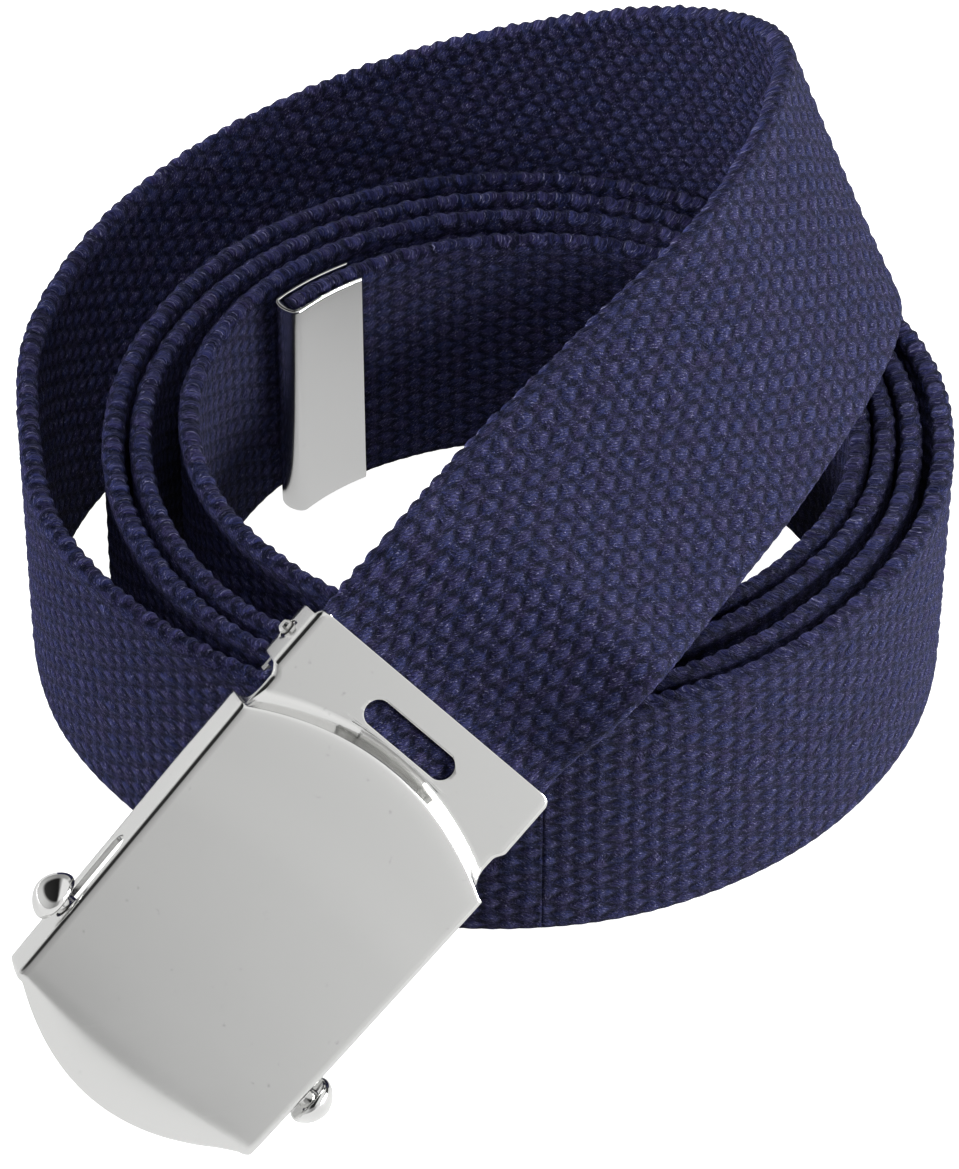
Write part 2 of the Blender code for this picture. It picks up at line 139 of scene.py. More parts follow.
# %% Direction and place of the buckle
buckle_along = Vector((-0.657, -0.479, -0.582)).normalized()
out_hint = Vector((0.235, -0.864, 0.446))
buckle_out = (out_hint - buckle_along * out_hint.dot(buckle_along)).normalized()
buckle_across = buckle_out.cross(buckle_along)
half_face = web_width / 2 + fit_gap + sheet_thick + face_overhang
case_length = neck_length + face_length
lowest = min(
    (buckle_along * case_length + buckle_across * half_face
     + buckle_out * (face_rise - wall_drop)).z,
    (buckle_along * (case_length + lip_bow)).z,
)
buckle_edge = Vector((-0.0858 * coil_reach, -1.0146 * coil_reach, corner_clear - lowest))
buckle_axes = np.array([buckle_along, buckle_across, buckle_out])
print("neck edge at", [round(v, 4) for v in buckle_edge])


def on_buckle(places):
    """Along, across and outward places on the buckle, as points in the row frame."""
    return np.asarray(places) @ buckle_axes + np.array(buckle_edge) + settle


# %% The smooth path
def row_radius(row, turn):
    """Radius in one row of the table, on one turn; rows past the end are the next turn's."""
    turn += row // len(TURNS)
    row = row % len(TURNS)
    turn = max(0, min(3, turn))
    radius = TURNS[row][1] * coil_reach
    for slack in TURNS[row][2:2 + turn]:
        radius -= web_thick * (1.0 + slack)
    return radius


def turn_radius(degrees):
    """Radius of the coil at an angle, drawn smoothly through the table's rows."""
    turn = int((degrees - 180) // 360)
    place = ((degrees - 180) % 360) / 30.0
    low = int(math.floor(place))
    share = place - low
    before, start, end, after = [row_radius(low + step, turn) for step in (-1, 0, 1, 2)]
    s2, s3 = share ** 2, share ** 3
    return (start * (2 * s3 - 3 * s2 + 1) + (end - before) / 2 * (s3 - 2 * s2 + share)
            + end * (3 * s2 - 2 * s3) + (after - start) / 2 * (s3 - s2))


def path_rows():
    """Middle points and upward directions of the webbing, buckle to free end."""
    sink = sheet_thick + fit_gap + web_thick / 2
    middles, leans = [], []
    for back in (0.74, 0.37, 0.0, -0.14):
        point = buckle_edge + buckle_along * (neck_length * back) - buckle_out * sink
        middles.append(np.array(point))
        leans.append(-np.array(buckle_across))
    for x, y, z, lean_x, lean_y in LEAD:
        middles.append(np.array([x * coil_reach, y * coil_reach, z * web_width]))
        leans.append(np.array([lean_x, lean_y, math.sqrt(1 - lean_x ** 2 - lean_y ** 2)]))
    degrees = first_degrees
    while degrees < last_degrees + 1e-6:
        angle = math.radians(degrees)
        radius = turn_radius(degrees)
        middles.append(coil_centre + radius * np.array([math.cos(angle), math.sin(angle), 0]))
        leans.append(np.array([0.0, 0.0, 1.0]))
        degrees += 15 if last_degrees - degrees < 30 else 30
        if 0 < degrees - last_degrees < 15:
            degrees = last_degrees
    return np.array(middles), np.array(leans)


def smooth_line(points, knots, places):
    """Cubic line through the points, with slopes weighed by the knot spacing."""
    steps = np.diff(knots)
    slopes = np.diff(points, axis=0) / steps[:, None]
    tangents = np.zeros_like(points)
    weight = (steps[1:] / (steps[:-1] + steps[1:]))[:, None]
    tangents[1:-1] = slopes[:-1] * weight + slopes[1:] * (1 - weight)
    tangents[0] = slopes[0]
    tangents[-1] = 2 * slopes[-1] - tangents[-2]
    low = np.clip(np.searchsorted(knots, places) - 1, 0, len(steps) - 1)
    share = ((places - knots[low]) / steps[low])[:, None]
    span = steps[low][:, None]
    s2, s3 = share ** 2, share ** 3
    return (points[low] * (2 * s3 - 3 * s2 + 1) + tangents[low] * span * (s3 - 2 * s2 + share)
            + points[low + 1] * (3 * s2 - 2 * s3) + tangents[low + 1] * span * (s3 - s2))


def unit(vectors):
    """The same directions, each one long."""
    return vectors / np.linalg.norm(vectors, axis=-1, keepdims=True)


look_ahead = 0.0015
path_middles, path_leans = path_rows()
path_knots = np.concatenate(
    [[0.0], np.cumsum(np.linalg.norm(np.diff(path_middles, axis=0), axis=1))])
web_length = path_knots[-1]
print("length of webbing along its middle:", round(web_length, 4), "m")


def sections(places):
    """Middle, along, upward and facing directions at distances down the webbing."""
    places = np.asarray(places, dtype=float)
    middle = smooth_line(path_middles, path_knots, places)
    ahead = smooth_line(path_middles, path_knots, np.minimum(places + look_ahead, web_length))
    behind = smooth_line(path_middles, path_knots, np.maximum(places - look_ahead, 0.0))
    along = unit(ahead - behind)
    upward = smooth_line(path_leans, path_knots, places)
    upward = unit(upward - along * np.sum(along * upward, axis=1, keepdims=True))
    facing = np.cross(along, upward)
    deep = web_width / 2 * upward[:, 2] + web_thick / 2 * np.abs(facing[:, 2])
    middle[:, 2] = np.maximum(middle[:, 2], deep)
    return middle + settle, along, upward, facing


# %% [markdown]
# The weave.  Heavy cotton webbing is a plain weave: each lengthwise yarn goes over one
# crossing yarn and under the next, and its neighbours do the opposite.  Seen from
# above, that is a field of staggered crowns with a dark pit at each corner.  The
# photograph gives the pitch: a crossing yarn about every 2 mm and a lengthwise yarn
# about every 1.2 mm.  The big form of the crowns is cut into the mesh, so that they
# shade each other and break the outline, and the shader adds the finer fibres.

# %% Pitch and relief of the weave
pick_pitch = 0.00202
yarn_count = 26
yarn_pitch = web_width / yarn_count
crown_height = 0.00016
loop_height = 0.00042
edge_round = 0.0010
lower_edge_share = 0.25
edge_fade = 0.0012
cloth_past_edge = 0.0015

# %% How far each yarn wanders, in pitches
pick_count = 2000
picks_per_row = 3.0
drift_rows = 400
drift_columns = 60
rng = np.random.default_rng(7)
loop_size = rng.uniform(0.55, 1.15, pick_count)
pick_drift = np.cumsum(rng.normal(0.0, 0.035, pick_count))
pick_drift -= np.convolve(pick_drift, np.ones(41) / 41, mode="same")
pick_drift += rng.normal(0.0, 0.060, pick_count)
yarn_drift = rng.normal(0.0, 0.12, (drift_rows, drift_columns))
print("crossing yarns", int(web_length / pick_pitch), "lengthwise yarns", yarn_count)


def lay_weave(distance, width, back):
    """Places in the weave, in metres, after each yarn has wandered a little."""
    pick = distance / pick_pitch
    pick = pick + np.interp(pick, np.arange(pick_count), pick_drift)
    yarn = width / yarn_pitch + back
    row = np.clip(pick / picks_per_row, 0, drift_rows - 1.1)
    column = np.clip(yarn + drift_columns / 2, 0, drift_columns - 1.1)
    low_row, low_column = np.floor(row).astype(int), np.floor(column).astype(int)
    down, over = row - low_row, column - low_column
    drift = (yarn_drift[low_row, low_column] * (1 - down) * (1 - over)
             + yarn_drift[low_row + 1, low_column] * down * (1 - over)
             + yarn_drift[low_row, low_column + 1] * (1 - down) * over
             + yarn_drift[low_row + 1, low_column + 1] * down * over)
    return (pick + drift * 0.8) * pick_pitch, (yarn + drift) * yarn_pitch


def crowns(distance, width):
    """Height of the weave from about -1 in a pit to 1 on a crown."""
    a = distance / pick_pitch
    b = width / yarn_pitch
    stagger = np.cos(np.pi * a) * np.cos(np.pi * b)
    high = 0.54 * stagger + 0.26 * np.cos(2 * np.pi * a) + 0.20 * np.cos(2 * np.pi * b)
    return np.where(high < 0, high * 1.7, high)


def loops(distance, round_share, side):
    """Height of the looped edge; the loops slant round from one face to the other."""
    a = distance / pick_pitch + 0.9 * round_share + 0.25 * side
    size = loop_size[np.floor(a + 0.5).astype(int) % pick_count]
    return (0.5 + 0.5 * np.cos(2 * np.pi * a)) ** 0.7 * size


# %% Outline of one section of webbing
def web_outline(face_spans, edge_spans):
    """Width, thickness, outward direction, cloth place, bulge and way round of each point."""
    half = web_width / 2
    flat = half - edge_round
    rows = []
    for step in range(face_spans + 1):
        width = flat - 2 * flat * step / face_spans
        rows.append((width, web_thick / 2, 0.0, 1.0, width, 0.0, 0.0))
    for step in range(1, edge_spans):
        share = step / edge_spans
        bulge = math.sin(math.pi * share)
        level = math.cos(math.pi * share)
        rows.append((-flat - edge_round * bulge, web_thick / 2 * level, -bulge, level,
                     -flat - cloth_past_edge * bulge, bulge, share))
    for step in range(face_spans + 1):
        width = -flat + 2 * flat * step / face_spans
        rows.append((width, -web_thick / 2, 0.0, -1.0, width, 0.0, 1.0))
    for step in range(1, edge_spans):
        share = step / edge_spans
        bulge = math.sin(math.pi * share)
        level = math.cos(math.pi * share)
        rows.append((flat + edge_round * bulge, -web_thick / 2 * level, bulge, -level,
                     flat + cloth_past_edge * bulge, bulge, 1 - share))
    return np.array(rows)


# %% A helper that turns a grid of points into a mesh
def grid_mesh(name, points, wrap, places=None, cap=False):
    """Mesh from rows of points; wrap joins the last column to the first."""
    rows, columns = points.shape[:2]
    mesh = bpy.data.meshes.new(name)
    mesh.vertices.add(rows * columns)
    mesh.vertices.foreach_set("co", points.reshape(-1).astype(np.float32))
    span = columns if wrap else columns - 1
    row = np.repeat(np.arange(rows - 1), span)
    column = np.tile(np.arange(span), rows - 1)
    after = (column + 1) % columns
    corners = np.stack([row * columns + column, row * columns + after,
                        (row + 1) * columns + after, (row + 1) * columns + column], axis=1)
    loops_total = corners.size + (2 * columns if cap else 0)
    faces_total = len(corners) + (2 if cap else 0)
    index = corners.reshape(-1)
    starts = np.arange(len(corners)) * 4
    if cap:
        first = np.arange(columns)[::-1]
        last = (rows - 1) * columns + np.arange(columns)
        index = np.concatenate([index, first, last])
        starts = np.concatenate([starts, [corners.size, corners.size + columns]])
    mesh.loops.add(loops_total)
    mesh.loops.foreach_set("vertex_index", index.astype(np.int32))
    mesh.polygons.add(faces_total)
    mesh.polygons.foreach_set("loop_start", starts.astype(np.int32))
    mesh.update(calc_edges=True)
    mesh.polygons.foreach_set("use_smooth", np.arange(faces_total) < len(corners))
    if places is not None:
        layer = mesh.uv_layers.new(name="cloth")
        layer.data.foreach_set("uv", places[index].reshape(-1).astype(np.float32))
    mesh.validate()
    item = bpy.data.objects.new(name, mesh)
    bpy.context.scene.collection.objects.link(item)
    return item


# %% Cut the webbing into lengths that stay light enough
def web_piece(name, start, end, face_spans, edge_spans, step):
    """One length of webbing between two distances, with its weave in the mesh."""
    count = max(2, int(round((end - start) / step)) + 1)
    places = np.linspace(start, end, count)
    middle, along, upward, facing = sections(places)
    outline = web_outline(face_spans, edge_spans)
    width, thick, out_width, out_thick, cloth, bulge, way_round = outline.T
    laid, spread = lay_weave(*np.broadcast_arrays(places[:, None], cloth, way_round))
    looped = loops(laid, way_round, np.sign(width)) * (0.4 + 0.6 * bulge)
    looped = loop_height * looped * np.where(width > 0, 1.0, lower_edge_share)
    inside = np.clip((web_width / 2 - edge_round - np.abs(cloth)) / edge_fade, 0, 1)
    relief = crown_height * crowns(laid, spread) * inside + looped * (1 - inside)
    high = width[None, :] + out_width[None, :] * relief
    proud = thick[None, :] + out_thick[None, :] * relief
    points = (middle[:, None, :] + upward[:, None, :] * high[:, :, None]
              + facing[:, None, :] * proud[:, :, None])
    points[:, :, 2] = np.maximum(points[:, :, 2], above_table)
    cloth_places = np.stack([laid, spread], axis=2) * 1000.0
    item = grid_mesh(name, points, True, cloth_places.reshape(-1, 2), cap=True)
    print(name, "faces", len(item.data.polygons), "sections", count)
    return item


above_table = 0.00002
edge_spans = 10
LENGTHS = [
    # name, end, face_spans, sections_per_pick
    ("webbing_lead", 0.186, 78, 5),
    ("webbing_outer_left", 0.351, 78, 5),
    ("webbing_outer_right", 0.516, 78, 5),
    ("webbing_middle_turns", 0.930, 26, 4),
    ("webbing_inner_turns", web_length, 26, 4),
]
webbing = []
start = 0.0
for name, end, face_spans, sections_per_pick in LENGTHS:
    step = pick_pitch / sections_per_pick
    webbing.append(web_piece(name, start, end, face_spans, edge_spans, step))
    start = end

# %% [markdown]
# The metal cap.  On the real belt it is one strip of sheet folded over the cut end of
# the webbing and pressed shut.  Its rims are the only sharp light it catches, so the
# rounding there is drawn as extra rows rather than left to a flat edge.

# %% The folded cap on the free end
straight_points = 14
fold_points = 25
inner_fold_points = 17
lip_points = 5


def cap_outline():
    """Places along the webbing and across its thickness, once round the sheet."""
    inner = web_thick / 2 + fit_gap
    outer = inner + tip_sheet
    lip = tip_sheet / 2
    places = np.linspace(-tip_length * 0.96, -tip_length * 0.10, straight_points)
    rows = [(place, -outer, -1.0) for place in places]
    for share in np.linspace(-1.0, 1.0, fold_points):
        turn = share * math.pi / 2
        rows.append((fit_gap + outer * math.cos(turn) * 0.62, outer * math.sin(turn), 0.0))
    rows += [(place, outer, 1.0) for place in reversed(places)]
    for share in np.linspace(0.8, -0.8, lip_points):
        turn = share * math.pi / 2
        rows.append((places[0] - lip * math.cos(turn), inner + lip + lip * math.sin(turn), 0.5))
    rows += [(place, inner, -1.0) for place in places]
    for share in np.linspace(1.0, -1.0, inner_fold_points):
        turn = share * math.pi / 2
        rows.append((fit_gap + inner * math.cos(turn) * 0.30, inner * math.sin(turn), 0.0))
    rows += [(place, -inner, 1.0) for place in reversed(places)]
    for share in np.linspace(0.8, -0.8, lip_points):
        turn = share * math.pi / 2
        rows.append((places[0] - lip * math.cos(turn), -inner - lip + lip * math.sin(turn), 0.5))
    return np.array(rows)


def build_cap():
    """The cap's walls as a grid, with its top and bottom rims drawn in and rounded."""
    outline = cap_outline()
    inner = web_thick / 2 + fit_gap
    centre = inner + tip_sheet / 2
    levels = []
    for step in range(7):
        turn = math.pi / 2 * step / 6
        levels.append((-0.490 + 0.010 * (1 - math.cos(turn)), math.sin(turn)))
    levels += [(-0.40, 1.0), (-0.2, 1.0), (0.0, 1.0), (0.2, 1.0), (0.40, 1.0)]
    levels += [(-level, full) for level, full in reversed(levels[:7])]
    places = np.minimum(web_length + outline[:, 0], web_length)
    middle, along, upward, facing = sections(places)
    past = np.maximum(outline[:, 0], 0.0)
    rings = []
    for level, full in levels:
        side = outline[:, 1].copy()
        size = np.hypot(np.maximum(outline[:, 0] - fit_gap, 0.0) / 0.62, side)
        wall = np.abs(side) > 1e-9
        drawn = np.sign(side) * (centre + (np.abs(side) - centre) * (0.25 + 0.75 * full))
        straight = outline[:, 0] <= 0.0
        side = np.where(straight & wall, drawn, side)
        ahead = past.copy()
        nose = ~straight
        out_nose = nose & (size > inner + 1e-5)
        shrink = (centre + tip_sheet / 2 * (0.25 + 0.75 * full)) / (inner + tip_sheet)
        side = np.where(out_nose, outline[:, 1] * shrink, side)
        ahead = np.where(out_nose, fit_gap + (past - fit_gap) * shrink, ahead)
        rings.append(middle + along * ahead[:, None] + facing * side[:, None]
                     + upward * (level * web_width))
    item = grid_mesh("metal_cap", np.array(rings), True)
    print("cap faces", len(item.data.polygons))
    return item, np.array(rings)


cap, cap_rings = build_cap()


# %% Close the cap's two rims
def close_rims(item, rings, outer_count):
    """Stitch the outer wall to the inner wall along the top and bottom rims."""
    mesh = item.data
    rows, columns = rings.shape[:2]
    inner_walk = list(range(columns - 1, outer_count - 1, -1))
    outer_walk = list(range(outer_count))
    work = bmesh.new()
    work.from_mesh(mesh)
    work.verts.ensure_lookup_table()
    for row in (0, rows - 1):
        base = row * columns
        a, b = 0, 0
        while a < len(outer_walk) - 1 or b < len(inner_walk) - 1:
            step_a = (a + 1) / len(outer_walk) <= (b + 1) / len(inner_walk)
            if a >= len(outer_walk) - 1:
                step_a = False
            if b >= len(inner_walk) - 1:
                step_a = True
            first = work.verts[base + outer_walk[a]]
            third = work.verts[base + inner_walk[b]]
            if step_a:
                second = work.verts[base + outer_walk[a + 1]]
                a += 1
            else:
                second = work.verts[base + inner_walk[b + 1]]
                b += 1
            corners = [first, second, third]
            if work.faces.get(corners) is None:
                face = work.faces.new(corners)
                face.smooth = True
    bmesh.ops.recalc_face_normals(work, faces=work.faces)
    work.to_mesh(mesh)
    work.free()


close_rims(cap, cap_rings, 2 * straight_points + fold_points + (lip_points + 1) // 2)

# %% [markdown]
# The buckle's case.  It is pressed from one sheet: a flat neck with a long window and
# two ears, a step, a gently bowed face with turned-down sides, and a lip rolled over at
# the far end.  The table lists cross-sections along the case.  The dressed case reads
# the same table more finely and rounds the sheet's edges.

# %% Table of the case
CASE = [
    # part, along, bow, rise, narrow, drop
    ("neck", 0.000, 0.00, 0.00, 1.6, 0.12),
    ("neck", 0.020, 0.00, 0.00, 0.5, 0.14),
    ("neck", 0.070, 0.00, 0.00, 0.0, 0.14),
    ("neck", 0.095, 0.00, 0.00, 0.0, 1.00),
    ("neck", 0.130, 0.00, 0.00, 0.0, 1.04),
    ("neck", 0.330, 0.00, 0.00, 0.0, 1.04),
    ("neck", 0.570, 0.16, 0.00, 0.0, 1.04),
    ("neck", 0.600, 0.25, 0.00, 0.2, 0.14),
    ("neck", 0.680, 0.45, 0.00, 1.2, 0.13),
    ("neck", 0.800, 0.79, 0.00, 1.25, 0.13),
    ("neck", 0.870, 0.86, 0.10, 1.1, 0.16),
    ("neck", 0.930, 0.93, 0.38, 0.7, 0.26),
    ("neck", 0.975, 0.98, 0.80, 0.2, 0.55),
    ("neck", 1.000, 1.00, 1.00, 0.0, 1.00),
    ("face", 0.030, 0.86, 1.02, 0.0, 1.00),
    ("face", 0.160, 0.55, 1.03, 0.0, 1.00),
    ("face", 0.340, 0.26, 1.05, 0.0, 1.00),
    ("face", 0.560, 0.08, 1.05, 0.0, 1.00),
    ("face", 0.780, 0.00, 1.04, 0.0, 1.00),
    ("face", 0.940, -0.04, 1.01, 0.0, 1.00),
    ("face", 0.975, -0.18, 0.97, 0.0, 0.96),
    ("lip", 0.988, -0.45, 0.86, 0.4, 0.60),
    ("lip", 0.996, -0.75, 0.66, 1.0, 0.30),
    ("lip", 1.000, -1.00, 0.38, 1.6, 0.14),
]


def case_station(row):
    """One row of the table as place, bow, rise, half width and wall depth in metres."""
    part, along, bow, rise, narrow, drop = row
    if part == "neck":
        place = along * neck_length
        half = web_width / 2 + fit_gap + sheet_thick
        if along > 0.96:
            half += face_overhang * (along - 0.96) / 0.04
    else:
        place = neck_length + along * face_length
        half = web_width / 2 + fit_gap + sheet_thick + face_overhang - face_taper * along
    reach = lip_bow if part == "lip" or bow < 0 else arc_bow
    return place, bow * reach, rise * face_rise, half - narrow * sheet_thick, drop * wall_drop


# %% Draw the stations more finely
stations = np.array([case_station(row) for row in CASE])
station_knots = np.concatenate(
    [[0.0], np.cumsum(np.maximum(np.linalg.norm(np.diff(stations, axis=0), axis=1), 1e-5))])


def fine_stations(step):
    """Stations between the table's rows, never past the rows they lie between."""
    rows = [stations[0]]
    slopes = np.diff(stations, axis=0) / np.diff(station_knots)[:, None]
    tangents = np.zeros_like(stations)
    same = slopes[1:] * slopes[:-1] > 0
    with np.errstate(divide="ignore", invalid="ignore"):
        blend = 2 * slopes[1:] * slopes[:-1] / (slopes[1:] + slopes[:-1])
    tangents[1:-1] = np.where(same, blend, 0.0)
    tangents[0] = slopes[0]
    tangents[-1] = slopes[-1]
    for low in range(len(stations) - 1):
        span = station_knots[low + 1] - station_knots[low]
        count = max(1, int(math.ceil(span / step)))
        for item in range(1, count + 1):
            share = item / count
            s2, s3 = share ** 2, share ** 3
            rows.append(stations[low] * (2 * s3 - 3 * s2 + 1)
                        + tangents[low] * span * (s3 - 2 * s2 + share)
                        + stations[low + 1] * (3 * s2 - 2 * s3)
                        + tangents[low + 1] * span * (s3 - s2))
    return np.array(rows)


def case_grid(rows):
    """Outer points of the case, with the bend from face to wall drawn as an arc."""
    grid = []
    soft = sheet_thick * 0.9
    for place, bow, rise, half, drop in rows:
        line = []
        bottom = rise - max(drop, soft * 1.05)
        for share in np.linspace(0.0, 1.0, 7)[:-1]:
            line.append((place, -half, bottom + (rise - soft - bottom) * share))
        for step in range(6):
            turn = math.pi / 2 * step / 6
            line.append((place, -half + soft * (1 - math.cos(turn)),
                         rise - soft * (1 - math.sin(turn))))
        for share in np.linspace(-1.0, 1.0, 61):
            over = share * (half - soft)
            line.append((place - bow * (1.0 - share * share), over, rise))
        right = [(a, -b, c) for a, b, c in reversed(line[:12])]
        grid.append(line + right)
    return np.array(grid)


station_step = 0.00045
case_outer = case_grid(fine_stations(station_step))
print("case grid", case_outer.shape)


# %% Thicken the sheet and close its edges
def build_case():
    """The case as a sheet with an outer and an inner skin, joined round its border."""
    rows, columns = case_outer.shape[:2]
    steps_along = np.gradient(case_outer, axis=0)
    steps_over = np.gradient(case_outer, axis=1)
    normal = unit(np.cross(steps_along, steps_over))
    for _ in range(2):
        normal[1:-1] = unit(normal[:-2] + 2 * normal[1:-1] + normal[2:])
    normal[:, :6] = (0, -1, 0)
    normal[:, -6:] = (0, 1, 0)
    outer, inner = [case_outer - normal * sheet_thick * depth for depth in (0.0, 1.0)]
    size = rows * columns
    verts = np.concatenate([on_buckle(outer.reshape(-1, 3)), on_buckle(inner.reshape(-1, 3))])
    faces = []
    for row in range(rows - 1):
        for column in range(columns - 1):
            first = row * columns + column
            faces.append((first, first + 1, first + columns + 1, first + columns))
            faces.append((size + first, size + first + columns,
                          size + first + columns + 1, size + first + 1))
    border = list(range(columns))
    border += [r * columns + columns - 1 for r in range(1, rows)]
    border += [(rows - 1) * columns + c for c in range(columns - 2, -1, -1)]
    border += [r * columns for r in range(rows - 2, 0, -1)]
    for first, second in zip(border, border[1:] + border[:1]):
        faces.append((second, first, size + first, size + second))
    mesh = bpy.data.meshes.new("stamped_case")
    mesh.from_pydata([tuple(v) for v in verts], [], faces)
    mesh.update()
    item = bpy.data.objects.new("stamped_case", mesh)
    bpy.context.scene.collection.objects.link(item)
    for face in mesh.polygons:
        face.use_smooth = True
    return item


case = build_case()


# %% A helper that turns the faces of a closed mesh outwards
def turn_outward(mesh):
    work = bmesh.new()
    work.from_mesh(mesh)
    bmesh.ops.recalc_face_normals(work, faces=work.faces)
    work.to_mesh(mesh)
    work.free()


# %% Cut the window, the bar's slots and the clamp's pivot holes
round_points = 64


def cutter(name, centres, radius, way, span):
    """A round or oblong rod that runs outward through the face or across the case."""
    first, last = centres[0], centres[-1]
    ring = []
    for step in range(round_points):
        turn = 2 * math.pi * (step + 0.5) / round_points
        far = math.sin(turn) > 0 if way == "outward" else math.cos(turn) > 0
        base = last if far else first
        ring.append((base[0] + radius * math.cos(turn), base[1] + radius * math.sin(turn)))
    if way == "outward":
        rings = [[(a, b, level) for a, b in ring] for level in span]
    else:
        rings = [[(a, level, b) for a, b in ring] for level in span]
    points = np.array([on_buckle(line) for line in rings])
    item = grid_mesh(name, points, True, cap=True)
    turn_outward(item.data)
    return item


bar_level = face_rise - sheet_thick - fit_gap * 2 - bar_dia / 2
pivot_level = -(sheet_thick + fit_gap * 2.4 + web_thick + barrel_dia / 2)
bar_high = neck_length + bar_from_neck
half_window = window_span / 2
window_at = neck_length * 0.365
cutters = [
    cutter("cut_window", [(window_at, -half_window), (window_at, half_window)],
           window_dia / 2, "outward", (-0.002, 0.002)),
    cutter("cut_slots", [(bar_high - bar_travel, bar_level), (bar_high, bar_level)],
           bar_dia / 2 + fit_gap, "across", (-web_width, web_width)),
    cutter("cut_holes", [(clamp_pivot_along, pivot_level)],
           nub_dia / 2 + fit_gap, "across", (-web_width, web_width)),
]
for tool in cutters:
    cut = case.modifiers.new("cut", "BOOLEAN")
    cut.operation = "DIFFERENCE"
    cut.solver = "EXACT"
    cut.object = tool
bevel = case.modifiers.new("soft rims", "BEVEL")
bevel.width = 0.00011
bevel.segments = 2
bevel.limit_method = "ANGLE"
bevel.angle_limit = math.radians(50)
bevel.use_clamp_overlap = True
bpy.context.view_layer.update()
finished = case.evaluated_get(bpy.context.evaluated_depsgraph_get())
cut_mesh = bpy.data.meshes.new_from_object(finished)
case.modifiers.clear()
case.data = cut_mesh
case.data.name = "stamped_case"
for tool in cutters:
    bpy.data.objects.remove(tool)
case.data.polygons.foreach_set("use_smooth", np.ones(len(case.data.polygons), dtype=bool))
print("case faces", len(case.data.polygons))

# %% [markdown]
# The loose bar is turned and polished: a plain rod with a mushroom knob riveted on
# each end.  A lathe shape with many rings keeps its highlight round.

# %% The sliding bar with its knobs
def build_bar():
    """A rod with a domed knob on each end, turned round the bar's own line."""
    half = web_width / 2 + fit_gap + sheet_thick + face_overhang + fit_gap
    knob = knob_dia / 2
    dome = [(0.00, 0.84), (0.012, 0.89), (0.04, 0.94), (0.09, 0.975), (0.18, 1.00), (0.28, 0.985),
            (0.38, 0.95), (0.49, 0.885), (0.60, 0.80), (0.70, 0.70), (0.80, 0.57), (0.88, 0.43),
            (0.94, 0.30), (0.975, 0.16), (0.985, 0.04)]
    right = [(half + share * knob_height, size * knob) for share, size in dome]
    left = [(-place, size) for place, size in reversed(right)]
    line = left + [(-half, bar_dia / 2), (half, bar_dia / 2)] + right
    rings = []
    for place, radius in line:
        turns = np.linspace(0, 2 * math.pi, round_points, endpoint=False)
        rings.append(on_buckle(np.stack([bar_high + radius * np.cos(turns),
                                         np.full(round_points, place),
                                         bar_level + radius * np.sin(turns)], axis=1)))
    item = grid_mesh("turned_bar", np.array(rings), True, cap=True)
    turn_outward(item.data)
    edge = item.modifiers.new("sharp collar", "EDGE_SPLIT")
    edge.split_angle = math.radians(50)
    return item


bar = build_bar()

# %% The clamp keeps its packed form, with its edges eased
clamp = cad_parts["clamp_plate"]
ease = clamp.modifiers.new("eased edges", "BEVEL")
ease.width = 0.00008
ease.segments = 2
ease.limit_method = "ANGLE"
ease.angle_limit = math.radians(40)

# %% [markdown]
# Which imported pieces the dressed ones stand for, and what each one moves with.

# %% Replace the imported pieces
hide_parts("web_strap")
for piece in webbing:
    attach(piece, "belt")
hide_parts("strap_tip")
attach(cap, "belt")
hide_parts("buckle_case")
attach(case, "belt")
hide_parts("slide_bar")
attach(bar, "bar")

# %% [markdown]
# A shader group draws the weave from the cloth's own places: how far along
# the webbing, and how far across it, in millimetres.  It adds what the mesh leaves out:
# the twist of the yarns, the fibres and a slightly different dye on every crown.  It also
# paints light on the crowns and paints shade in the pits.

# %% Small helpers for shader groups
def new_group(name, inputs, outputs):
    """An empty shader group with its own inputs and outputs."""
    group = bpy.data.node_groups.new(name, "ShaderNodeTree")
    for label, kind, value in inputs:
        made = group.interface.new_socket(name=label, in_out="INPUT", socket_type=kind)
        if value is not None:
            made.default_value = value
    for label, kind in outputs:
        group.interface.new_socket(name=label, in_out="OUTPUT", socket_type=kind)
    return group, group.nodes.new("NodeGroupInput"), group.nodes.new("NodeGroupOutput")


def maths(tree, operation, first, second=None, third=None, clamp=False):
    """One sum in a shader; each value is a number or another node's output."""
    node = tree.nodes.new("ShaderNodeMath")
    node.operation = operation
    node.use_clamp = clamp
    for place, value in enumerate((first, second, third)):
        if value is None:
            continue
        if isinstance(value, (int, float)):
            node.inputs[place].default_value = value
        else:
            tree.links.new(value, node.inputs[place])
    return node.outputs[0]


def noise(tree, where, scale, detail=2.0, roughness=0.5, stretch=None):
    """Soft noise over a place; stretch crowds it more closely along an axis."""
    node = tree.nodes.new("ShaderNodeTexNoise")
    node.inputs["Scale"].default_value = scale
    node.inputs["Detail"].default_value = detail
    node.inputs["Roughness"].default_value = roughness
    if stretch is not None:
        spread = tree.nodes.new("ShaderNodeVectorMath")
        spread.operation = "MULTIPLY"
        spread.inputs[1].default_value = stretch
        tree.links.new(where, spread.inputs[0])
        where = spread.outputs[0]
    tree.links.new(where, node.inputs["Vector"])
    return node.outputs["Fac"]


def mix_colours(tree, share, first, second):
    """The first colour, giving way to the second as the share grows."""
    node = tree.nodes.new("ShaderNodeMix")
    node.data_type = "RGBA"
    if isinstance(share, (int, float)):
        node.inputs[0].default_value = share
    else:
        tree.links.new(share, node.inputs[0])
    for place, value in ((6, first), (7, second)):
        if isinstance(value, tuple):
            node.inputs[place].default_value = value
        else:
            tree.links.new(value, node.inputs[place])
    return node.outputs[2]


